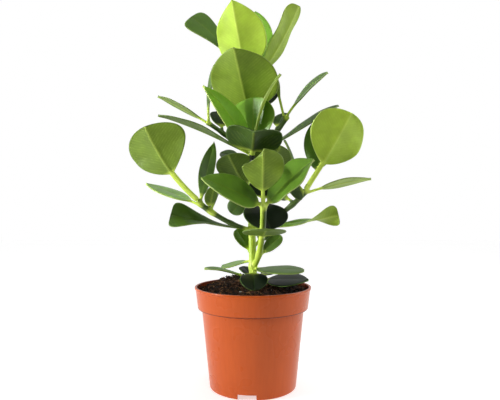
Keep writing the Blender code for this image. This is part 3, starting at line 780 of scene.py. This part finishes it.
LEAVES = [
    # The crown
    Leaf("crown_front", "trunk", 7, -115, 62, 78, 57, 0.0, arch=14, fold=22, wave=2, tip=0.8, base=0.58),
    Leaf("crown_back", "trunk", 6.9, 78, 70, 90, 44, 0.3, arch=10, tip=0.8),
    Leaf("crown_left", "trunk", 6.85, 172, 50.5, 95, 34, 0.6, arch=-30, roll=-50, fold=6, base=2, tip=0.24),
    Leaf("crown_right", "trunk", 6.85, 0, 59, 95, 32, 0.25, arch=18, roll=-31, fold=20, wave=2, tip=0.36),
    # Below the crown
    Leaf("high_front", "trunk", 6, -109, 50, 75, 74, 0.6, arch=10, fold=22, wave=2, base=0.5, tip=0.72,
         stalk=10),
    Leaf("high_back", "trunk", 6, 68, 57, 74, 49, 1.0, arch=20, base=0.5, tip=0.9),
    # The middle shoot
    Leaf("middle_left", "middle", 3, -172, 53, 78, 30, 0.0, arch=-22, roll=-50, base=0.6, tip=0.9, stalk=6),
    Leaf("middle_right", "middle", 3, -46, 61, 80, 19, 0.3, arch=-44, roll=42, tip=0.8, base=1.6),
    Leaf("middle_back", "middle", 2.2, 63, 87, 61, 49, 0.43, arch=4, wave=2),
    Leaf("middle_front", "middle", 2.6, -88, 22, 47, 58, 0.96, arch=6, fold=54, margin=-56, roll=-8,
         base=0.4),
    Leaf("middle_low", "middle", 2, -75, -25, 44, 34, 1.0, arch=-40),
    # The long pair
    Leaf("long_left", "trunk", 5, -171, 22, 102, 30, 0.85, arch=-12, fold=24, base=0.9, tip=0.8, roll=-4),
    Leaf("long_right", "trunk", 5, 3, 30, 103, 30, 0.74, arch=6, fold=18, base=1.4, roll=14),
    # The upper left shoot
    Leaf("upper_left_out", "upper_left", 2.85, 170, 29, 66, 26, 0.7, arch=-10, roll=12, fold=6, tip=0.9),
    Leaf("upper_left_up", "upper_left", 3, 5, 84, 59, 17, 0.75, roll=16, fold=6),
    Leaf("upper_left_inner", "upper_left", 2.15, 122, 61, 24, 23, 0.95, stalk=4),
    Leaf("upper_left_back", "upper_left", 1.4, 50, 65, 30, 20, 0.95),
    # The upper right shoot
    Leaf("upper_right_out", "upper_right", 3, -7, 46, 62, 26, 0.4, arch=-22, roll=22),
    Leaf("upper_right_up", "upper_right", 2.8, -128, 67, 44, 16, 0.5, arch=4, roll=-45, stalk=20),
    Leaf("upper_right_inner", "upper_right", 1.95, 52, 50, 24, 20, 0.9, arch=-10, stalk=4),
    # The left shoot
    Leaf("left_paddle", "left", 3, -158, 53, 92, 66, 0.7, arch=28, roll=50, stalk=40, base=0.8, fold=20),
    Leaf("left_out", "left", 2.75, 163, 20, 66, 28, 0.0, arch=-6, roll=-12, fold=6, tip=0.9),
    Leaf("left_back", "left", 2.98, 68, 63, 70, 17, 0.77, arch=-4, roll=12, fold=24, tip=0.9, base=0.9,
         stalk=5),
    Leaf("left_inner", "left", 2.3, -48, 68, 23, 16, 0.8, arch=0, fold=20, base=0.5, stalk=2),
    Leaf("left_behind", "left", 2.1, 62, 50, 28, 15, 1.0, arch=4, fold=16, roll=-50, stalk=4),
    Leaf("left_low", "trunk", 3, -170, 10.5, 83, 29, 0.78, roll=-4, twist=-80, arch=9, base=1, tip=0.15,
         fold=24),
    # The right shoot
    Leaf("right_paddle", "right", 3, -14, 59, 86, 63, 0.05, arch=6, roll=-55, stalk=29, base=0.7, wave=2),
    Leaf("right_back", "right", 2.85, 43, 73, 84, 46, 0.6, arch=64, stalk=28, tip=0.6),
    Leaf("right_out", "right", 2.9, -5, 12, 64, 32, 0.5, arch=-14, roll=-13, fold=6, tip=0.9),
    Leaf("right_up", "right", 2.55, 128, 68, 62, 16, 0.5, arch=-24, roll=35),
    Leaf("right_inner", "right", 2.85, -150, -4, 18, 24, 0.9, arch=-10, roll=-60, stalk=2),
    Leaf("right_under", "right", 2.1, 160, 25, 26, 22, 0.95, roll=40, stalk=5),
    Leaf("right_low", "trunk", 3, -8, 9.5, 88, 23, 0.45, arch=6, roll=45, twist=-145, base=1.3, tip=0.18),
    # The front shoot
    Leaf("front_facing", "front", 3, -90, 64, 58, 39, 0.62, arch=14, wave=2, right_tip=1.8, stalk=17),
    Leaf("front_left", "front", 3, -172, 24, 62, 49, 0.47, arch=-10, roll=-32, base=0.62, tip=0.85, stalk=3),
    Leaf("front_right", "front", 3, -10, 43, 62, 46, 0.6, arch=-14, roll=34, wave=2, base=0.62, tip=0.7,
         stalk=3),
    Leaf("front_back", "front", 2.9, 88, 35, 44, 30, 1.0),
    Leaf("front_level", "front", 1.9, -85, 14, 38, 41, 0.85, arch=-6, base=0.5, fold=2, margin=0, stalk=6),
    # The middle of the trunk
    Leaf("trunk_front", "trunk", 3.75, -60, -38, 46, 48, 1.0, arch=-40, base=0.8, stalk=5, roll=8),
    Leaf("trunk_front_left", "trunk", 4, -125, 45, 52, 40, 0.85, arch=10, roll=20),
    Leaf("trunk_front_right", "trunk", 3.9, -45, 52, 63, 42, 0.8, arch=10, roll=-24),
    Leaf("trunk_back", "trunk", 4, 95, 20, 76, 46, 0.9),
    Leaf("trunk_back_left", "trunk", 4.75, 165, 20, 34, 22, 0.8, arch=-14, roll=-28),
    Leaf("trunk_hanging_left", "trunk", 3.9, 180, -46, 26, 23, 0.8, roll=-55, stalk=5),
    # Low on the trunk
    Leaf("small_left", "trunk", 2.35, 150, 54, 30, 17, 0.69, arch=-14, roll=-30, stalk=5),
    Leaf("small_front", "trunk", 2.15, 8, 42, 38, 18, 0.76, arch=-10, roll=40),
    Leaf("small_right", "trunk", 2.5, 52, 32, 32, 18, 0.8, arch=-14, roll=30),
    # Over the soil
    Leaf("soil_right", "trunk", 1.85, -33, 2, 60, 32, 0.75, arch=-10, sweep=50, roll=8, fold=4, stalk=6),
    Leaf("soil_left", "trunk", 2.15, 145, -12, 38, 22, 0.45, arch=0, roll=-14, fold=4, stalk=6),
    Leaf("soil_low_right", "trunk", 0.9, -20, 4, 57, 34, 1.0, arch=-10, roll=15, fold=4, tip=0.8),
    Leaf("soil_low_left", "trunk", 1, -168, 14, 50, 15, 0.45, arch=-24, roll=-4),
    Leaf("soil_front", "trunk", 1.6, -88, -24, 36, 28, 1.0, arch=-50, base=0.55, stalk=8),
    Leaf("soil_back", "trunk", 1, 45, 5, 42, 26, 1.0),
    Leaf("soil_back_left", "trunk", 1, 115, 24, 24, 16, 1.0, stalk=5),
]
print("shoots:", len(SHOOTS), "leaves:", len(LEAVES))

# %% [markdown]
# ## The stem
#
# A green stem is smooth and swells at each node, where the stalks of two leaves clasp it. Round tubes along
# the shoots could be joined by Boolean, but they would meet in hard creases. A voxel Remesh melts them into
# one skin instead, and a Smooth modifier softens where stalk and stem meet.

# %% Places on the shoots
ROOT_REACH = 2.4 * MM
NODE_SWELLING = 0.22
NODE_SPREAD = 4 * MM
STEM_STEP = 2 * MM
STALK_WIDTH = 3.2 * MM
STALK_SHARE = 0.09


def span(leaf):
    """The nodes on either side of the leaf's root, in millimetres, and its share of the way."""
    nodes = SHOOTS[leaf.shoot].nodes
    below = min(math.floor(leaf.node), len(nodes) - 2)
    return Vector(nodes[below]), Vector(nodes[below + 1]), leaf.node - below


def node_place(leaf):
    """The middle of the shoot where the leaf grows."""
    start, end, share = span(leaf)
    return start.lerp(end, share) * MM


def through(before, start, end, after, t):
    """Catmull and Rom's curve between start and end."""
    return 0.5 * (
        2 * start
        + (end - before) * t
        + (2 * before - 5 * start + 4 * end - after) * t**2
        + (3 * start - before - 3 * end + after) * t**3
    )


def shoot_line(shoot):
    """Close points on a smooth curve through the shoot's nodes, each with its radius."""
    nodes = [Vector(node) * MM for node in shoot.nodes]
    ends = [2 * nodes[0] - nodes[1], *nodes, 2 * nodes[-1] - nodes[-2]]
    line = []
    for k in range(1, len(ends) - 2):
        before, start, end, after = ends[k - 1 : k + 3]
        steps = max(2, round((end - start).length / STEM_STEP))
        for step in range(steps):
            line.append(through(before, start, end, after, step / steps))
    line.append(nodes[-1])
    thick, thin = (radius * MM for radius in shoot.radius)
    made = []
    for i, point in enumerate(line):
        nearest = min((point - node).length for node in nodes[1:])
        swelling = 1 + NODE_SWELLING * math.exp(-((nearest / NODE_SPREAD) ** 2))
        made.append((point, (thick + (thin - thick) * i / (len(line) - 1)) * swelling))
    return made


# %% Leaf directions
def heading_at(leaf, share):
    return math.radians(leaf.heading + leaf.sweep * (share - 0.5))


def direction(leaf, share):
    heading = heading_at(leaf, share)
    rise = math.radians(leaf.rise + leaf.arch * (share - 0.5))
    return Vector(
        (math.cos(rise) * math.cos(heading), math.cos(rise) * math.sin(heading), math.sin(rise))
    )


def root_place(leaf):
    """Just under the stem's surface, on the side that the leaf points to."""
    forward = direction(leaf, 0)
    start, end, _ = span(leaf)
    axis = (end - start).normalized()
    out = (forward - forward.dot(axis) * axis).normalized()
    return node_place(leaf) + out * ROOT_REACH


def stalk_half_width(leaf):
    """Wider blades stand on wider stalks."""
    return max(STALK_WIDTH, STALK_SHARE * leaf.width * MM) / 2


# %% Stem skin
STEM_FOOT = Vector((0, 0, 72)) * MM
STEM_FOOT_TAPER = 0.9
STEM_ROUNDNESS = 5
COLLAR_REACH = 3.2 * MM
COLLAR_SPREAD = 1.12
COLLAR_TAPER = 0.86
SKIN_VOXEL = 0.55 * MM
SMOOTH_FACTOR = 0.6
SMOOTH_ROUNDS = 7


def collar_line(leaf):
    """The clasping foot of a leaf stalk, from the middle of the stem to just outside it."""
    root = root_place(leaf)
    radius = stalk_half_width(leaf) * COLLAR_SPREAD
    end = root + direction(leaf, 0) * COLLAR_REACH
    return [(node_place(leaf), radius), (root, radius), (end, radius * COLLAR_TAPER)]


lines = {name: shoot_line(shoot) for name, shoot in SHOOTS.items()}
lines["trunk"].insert(0, (STEM_FOOT, lines["trunk"][0][1] * STEM_FOOT_TAPER))
collars = [collar_line(leaf) for leaf in LEAVES]
stem = add_tube("green_stem", [*lines.values(), *collars], STEM_ROUNDNESS)
skin = stem.modifiers.new("skin", "REMESH")
skin.mode = "VOXEL"
skin.voxel_size = SKIN_VOXEL
soften = stem.modifiers.new("soften", "SMOOTH")
soften.factor = SMOOTH_FACTOR
soften.iterations = SMOOTH_ROUNDS
apply_all(stem)
bpy.ops.object.shade_smooth()
print("stem:", triangles(stem), "triangles")

# %% [markdown]
# The stem is brightest at its nodes, more olive between them on the side shoots, and painted almost black, as
# shade, where the middle leaves close over it. Each point of the skin stores how far it is from the nearest
# bright node, from the trunk and from the middle of that painted shade, and the finish reads these.

# %% Stem measures
# The middle of the painted shade on the stem, under the middle leaves
SHADED_PLACE = Vector((0, -24, 232)) * MM


def store(mesh, name, values):
    """Keeps one number for each point of the mesh, for the finish to read."""
    attribute = mesh.attributes.new(name, "FLOAT", "POINT")
    attribute.data.foreach_set("value", values)


spots = [Vector(node) * MM for shoot in SHOOTS.values() for node in shoot.nodes[shoot.bright :]]
points = [vertex.co.copy() for vertex in stem.data.vertices]
store(stem.data, "node_mm", [min((point - spot).length for spot in spots) / MM for point in points])
store(stem.data, "sideways_mm", [abs(point.x) / MM for point in points])
store(stem.data, "painted_shade_mm", [(point - SHADED_PLACE).length / MM for point in points])
print("stem points measured:", len(points))

# %% Stem finish
STEM_BRIGHT = paint(212, 236, 92)
STEM_GREEN = paint(190, 220, 66)
STEM_OLIVE = paint(74, 98, 36)
# The colour of the painted shade where the middle leaves close over the stem
STEM_PAINTED_SHADE = paint(22, 30, 14)
STEM_RELIEF = 0.12 * MM


def stem_finish():
    finish, tree = new_finish("green stem", Roughness=0.42)
    node_mm = measured(tree, "node_mm")
    streaks = streaky(tree, 1.2 * MM, 0.15)
    colour = mixed(tree, fade(tree, node_mm, 3, 16), STEM_BRIGHT, STEM_GREEN)
    between = times(tree, fade(tree, node_mm, 3, 7), fade(tree, measured(tree, "sideways_mm"), 6, 12))
    colour = mixed(tree, between, colour, STEM_OLIVE)
    colour = mixed(tree, times(tree, fade(tree, streaks, 0.4, 0.75), 0.12), colour, STEM_OLIVE)
    # Painted shade: almost black near the place under the middle leaves
    colour = mixed(tree, fade(tree, measured(tree, "painted_shade_mm"), 22, 12), colour, STEM_PAINTED_SHADE)
    set_shader(tree, Base_Color=colour, Normal=bumpy(tree, streaks, STEM_RELIEF))
    return finish


settle(stem, stem_finish(), "stem")

# %% [markdown]
# ## The leaves
#
# A clusia leaf is a thick paddle: a short stalk runs into a midrib that stands out below, and the blade
# leaves it in two halves that are slightly folded. It could be a plane with Solidify, but then its margin
# would be a flat band, and its midrib no thicker than the rest. Here a grid is rolled up into a flattened
# tube, so that one skin has the upper face, the rounded margin, the underside and the raised midrib.

# %% Leaf form
LEAF_THICKNESS = 1.2 * MM
MIDRIB_STEPS = 24


def half_width(leaf, share, across):
    """The width of the left or right half, widest where the shapes of base and tip meet."""
    narrow = stalk_half_width(leaf) * (1 - max(share, 0) ** 2)
    if not 0 < share < 1:
        return narrow
    blade = leaf.width * MM / 2
    widest = leaf.base / (leaf.base + leaf.tip)
    if across < 0 and leaf.right_tip and share > widest:
        blade *= ((1 - share) / (1 - widest)) ** leaf.right_tip
    else:
        fullest = widest**leaf.base * (1 - widest) ** leaf.tip
        blade *= share**leaf.base * (1 - share) ** leaf.tip / fullest
    return math.hypot(narrow, blade)


def midrib(leaf, along):
    """The midrib's place at a distance along it, the way to the left margin, and the way up."""
    length = leaf.length * MM
    place = root_place(leaf)
    for step in range(MIDRIB_STEPS):
        share = (step + 0.5) / MIDRIB_STEPS * along / length
        place = place + direction(leaf, share) * (along / MIDRIB_STEPS)
    share = along / length
    forward = direction(leaf, share)
    heading = heading_at(leaf, share)
    level = Vector((-math.sin(heading), math.cos(heading), 0))
    turn = Matrix.Rotation(math.radians(leaf.roll + leaf.twist * share**3), 3, forward)
    return place, turn @ level, turn @ forward.cross(level)


# %% [markdown]
# The section of the leaf changes along it: an oval in the stalk, and in the blade a thin sheet with a
# rounded margin. Columns crowd at the margin and at the midrib, where the surface turns most.

# %% Leaf section
STALK_THICKNESS = 2.6 * MM
OVAL_HALF_WIDTH = 2.5 * MM
OVAL_TO_SHEET = 5 * MM
RIB_TAPER = 1.5
RIB_SPREAD = (0.7 * MM, 1.2 * MM)  # at the tip, and how much more at the base
RIB_DEPTH = (0.12 * MM, 0.95 * MM)
GROOVE_DEPTH = 0.25 * MM


def crowd(share):
    """Turns even steps into steps that are short at both ends."""
    return (1 - math.cos(math.pi * share)) / 2


def section_place(turn):
    """Where a share of the way round the section lies: -1 to 1 across, and 1 above or -1 below."""
    face = 1 if turn < 0.5 else -1
    even = 4 * turn - 1 if turn < 0.5 else 3 - 4 * turn
    return math.copysign(crowd(abs(even)), even), face


def rim(distance):
    """0 at the margin, rising to 1 as a quarter circle over half the leaf's thickness."""
    reach = min(1, distance / (LEAF_THICKNESS / 2))
    return math.sqrt(1 - (1 - reach) ** 2)


def section_height(share, half, across, face):
    """How far the skin lies above or below the leaf's middle surface."""
    away = abs(across) * half
    oval = STALK_THICKNESS / 2 * math.sqrt(max(0, 1 - across**2))
    sheet = LEAF_THICKNESS / 2 * rim(half - away)
    growth = (1 - share) ** RIB_TAPER
    rib = math.exp(-((away / (RIB_SPREAD[0] + RIB_SPREAD[1] * growth)) ** 2))
    if face < 0:
        sheet += (RIB_DEPTH[0] + RIB_DEPTH[1] * growth) * rib
    else:
        sheet -= GROOVE_DEPTH * rib * (1 - share)
    blade = min(1, max(0, (half - OVAL_HALF_WIDTH) / OVAL_TO_SHEET))
    return face * (oval + (sheet - oval) * blade)


# %% Leaf rows
STALK_ROWS = 8
BLADE_ROWS = 40
FACE_COLUMNS = 22

# Side points to the left margin, normal out of the upper face, and the share is of the blade
Row = namedtuple("Row", "place side normal share halves")


def leaf_rows(leaf):
    """Rows along the leaf, even in the stalk and crowded at both ends of the blade."""
    stalk = leaf.stalk * MM
    blade = leaf.length * MM - stalk
    distances = [stalk * row / STALK_ROWS for row in range(STALK_ROWS)]
    distances += [stalk + blade * crowd(row / BLADE_ROWS) for row in range(BLADE_ROWS + 1)]
    rows = []
    for along in distances:
        share = (along - stalk) / blade
        halves = (half_width(leaf, share, -1), half_width(leaf, share, 1))
        rows.append(Row(*midrib(leaf, along), share, halves))
    return rows


# %% Leaf skin
FOLD_SOFTNESS = 0.07
WAVE_PHASE = 3 * math.pi
SWAY_SIZE = 16 * MM
SWAY_HEIGHT = 0.5 * MM
WELD = 0.02 * MM
MARKS = ("along_mm", "side_mm", "edge_mm", "under", "age_and_shade")


def soft_abs(value):
    """The size of a number, with the corner at 0 rounded off."""
    return math.hypot(value, FOLD_SOFTNESS) - FOLD_SOFTNESS


def skin_point(leaf, row, half, across, face):
    """A point of the skin, on the folded and waved blade or on the stalk."""
    opening = min(1, 2 * max(0, row.share))
    slope = math.radians(leaf.fold + leaf.margin * abs(across) / 2) * opening
    lift = leaf.wave * MM * across**2 * math.sin(WAVE_PHASE * row.share + across)
    out = half * across * math.cos(slope)
    up = half * soft_abs(across) * math.sin(slope) + lift * opening
    middle = row.place + row.side * out + row.normal * up
    sway = noise.noise(middle / SWAY_SIZE) * SWAY_HEIGHT * opening * abs(across)
    lean = math.copysign(slope, across)
    outward = row.normal * math.cos(lean) - row.side * math.sin(lean)
    return middle + outward * (section_height(row.share, half, across, face) + sway)


def roll_up(leaf, mesh, row_count, around):
    """Moves a grid's points into the leaf's skin and notes what the finish needs to know there."""
    rows = leaf_rows(leaf)
    blade = leaf.length - leaf.stalk
    marks = []
    for vertex in mesh.vertices:
        number = round((vertex.co.x + 1) / 2 * row_count)
        row = rows[number]
        across, face = section_place(round((vertex.co.y + 1) / 2 * around) / around)
        half = row.halves[across > 0]
        edge = (1 - abs(across)) * half
        under = 0.5 - 0.5 * face * rim(edge)
        marks.append((row.share * blade, across * half / MM, edge / MM, under, leaf.age_and_shade))
        if number == 0:
            half = face = 0  # the stalk's end closes in one point
        vertex.co = skin_point(leaf, row, half, across, face)
    return marks


def build_leaf(leaf):
    """A grid rolled into the leaf's skin, with its marks, and welded where it meets itself."""
    row_count = STALK_ROWS + BLADE_ROWS
    around = 2 * FACE_COLUMNS
    bpy.ops.mesh.primitive_grid_add(x_subdivisions=row_count, y_subdivisions=around, size=2)
    piece = bpy.context.object
    piece.name = leaf.name + "_leaf"
    marks = roll_up(leaf, piece.data, row_count, around)
    for name, values in zip(MARKS, zip(*marks)):
        store(piece.data, name, values)
    select_only(piece)
    bpy.ops.object.mode_set(mode="EDIT")
    bpy.ops.mesh.select_all(action="SELECT")
    bpy.ops.mesh.remove_doubles(threshold=WELD)
    bpy.ops.mesh.normals_make_consistent(inside=False)
    bpy.ops.object.mode_set(mode="OBJECT")
    bpy.ops.object.shade_smooth()
    return piece


# %% [markdown]
# ## The leaf's finish
#
# The upper face is deep green and glossy, duller on older leaves, with a fine light midrib. The underside
# is paler and duller, with a raised midrib and many faint side veins that run obliquely to the margin, and
# the margin itself is a thin pale line of painted highlight, where the rounded edge catches the light. The
# veins are a sine of the distance along the midrib less a share of the distance from it. Pairs of numbers are
# for the youngest leaf and for the oldest, most shaded one, whose darker colours are partly painted shade,
# and stored distances are in millimetres.

# %% Leaf finish
# Colours run from the youngest leaf to the oldest; the dark end also serves as painted shade for leaves in
# shade
UPPER_YOUNG = paint(144, 200, 62)
UPPER_OLD_SHADED = paint(10, 26, 10)
UNDER_YOUNG = paint(182, 214, 66)
UNDER_OLD_SHADED = paint(42, 74, 10)
VEIN_YOUNG = paint(216, 236, 104)
# Painted highlight: the pale line where the rounded margin catches the light
MARGIN_HIGHLIGHT_YOUNG = paint(200, 220, 120)
MARGIN_HIGHLIGHT_OLD_SHADED = paint(80, 108, 42)
VEIN_SPACING = 3.0
VEIN_SLANT = 0.6
VEIN_WANDER = 3.0
PALE_RIB = (0.4, 0.14)
PALE_VEINS = (0.17, 0.06)
UPPER_ROUGHNESS = (0.2, 0.45)
UNDER_ROUGHNESS = 0.46
CLOUD_RELIEF = 0.5 * MM
VEIN_RELIEF = 0.015 * MM
CELL_RELIEF = 0.006 * MM


def leaf_veins(tree, along, beside):
    """1 on a side vein and 0 between veins, a little uneven."""
    slanted = maths(tree, "SUBTRACT", along, times(tree, beside, VEIN_SLANT))
    wander = times(tree, cloudy(tree, 7 * MM, 2), VEIN_WANDER)
    turns = times(tree, maths(tree, "ADD", slanted, wander), 2 * math.pi / VEIN_SPACING)
    strength = fade(tree, cloudy(tree, 4 * MM, 3, 0.6), 0.3, 0.7)
    return times(tree, fade(tree, maths(tree, "SINE", turns), -0.4, 1.0), strength)


def leaf_finish():
    finish, tree = new_finish("clusia leaf", Specular_IOR_Level=0.32)
    age_and_shade = measured(tree, "age_and_shade")
    under = measured(tree, "under")
    along = measured(tree, "along_mm")
    beside = maths(tree, "ABSOLUTE", measured(tree, "side_mm"))
    from_margin = measured(tree, "edge_mm")
    veins = times(tree, leaf_veins(tree, along, beside), fade(tree, from_margin, 0.5, 5.0))
    clouds = cloudy(tree, 12 * MM)
    cells = cloudy(tree, 0.9 * MM, 3, 0.6)
    # The age number is raised for shaded leaves, so these blends are partly painted shade
    upper = mixed(tree, age_and_shade, UPPER_YOUNG, UPPER_OLD_SHADED)
    below = mixed(tree, age_and_shade, UNDER_YOUNG, UNDER_OLD_SHADED)
    upper = mixed(tree, times(tree, fade(tree, beside, 1.3, 0.5), 0.35), upper, below)
    upper = mixed(tree, times(tree, veins, 0.1), upper, below)
    rib = times(tree, fade(tree, beside, 1.5, 0.5), ramp(tree, age_and_shade, *PALE_RIB))
    below = mixed(tree, rib, below, VEIN_YOUNG)
    below = mixed(tree, times(tree, veins, ramp(tree, age_and_shade, *PALE_VEINS)), below, VEIN_YOUNG)
    colour = mixed(tree, under, upper, below)
    colour = mixed(tree, 1.0, colour, ramp(tree, clouds, 0.86, 1.1, 0.3, 0.7), "MULTIPLY")
    # Painted highlight along the margin, paler on young leaves
    margin = mixed(tree, age_and_shade, MARGIN_HIGHLIGHT_YOUNG, MARGIN_HIGHLIGHT_OLD_SHADED)
    colour = mixed(tree, times(tree, fade(tree, from_margin, 0.85, 0.35), 0.8), colour, margin)
    colour = mixed(tree, times(tree, fade(tree, along, 5.0, -1.0), 0.92), colour, STEM_BRIGHT)
    gloss = ramp(tree, under, ramp(tree, age_and_shade, *UPPER_ROUGHNESS), UNDER_ROUGHNESS)
    gloss = maths(tree, "ADD", gloss, times(tree, cells, 0.08))
    relief = bumpy(tree, clouds, CLOUD_RELIEF)
    relief = bumpy(tree, times(tree, veins, under), VEIN_RELIEF, relief)
    relief = bumpy(tree, cells, CELL_RELIEF, relief)
    set_shader(tree, Base_Color=colour, Roughness=gloss, Normal=relief)
    return finish


# %% Leaves in their places
finish = leaf_finish()
leaf_triangles = 0
for leaf in LEAVES:
    piece = build_leaf(leaf)
    settle(piece, finish, "leaf_" + leaf.name)
    leaf_triangles += triangles(piece)
print("leaves:", len(LEAVES), "triangles:", leaf_triangles)

# %% [markdown]
# ## Check and finish
#
# The finer pieces keep to the box of the CAD model, give or take half a millimetre. How far their box lies
# below and above the CAD box is printed, in millimetres.

# %% Sizes
own_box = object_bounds()
for word, own, cad in zip(("below", "above"), own_box, cad_box):
    print(word, "the CAD box, in mm:", [round((a - b) / MM, 2) for a, b in zip(own, cad)])
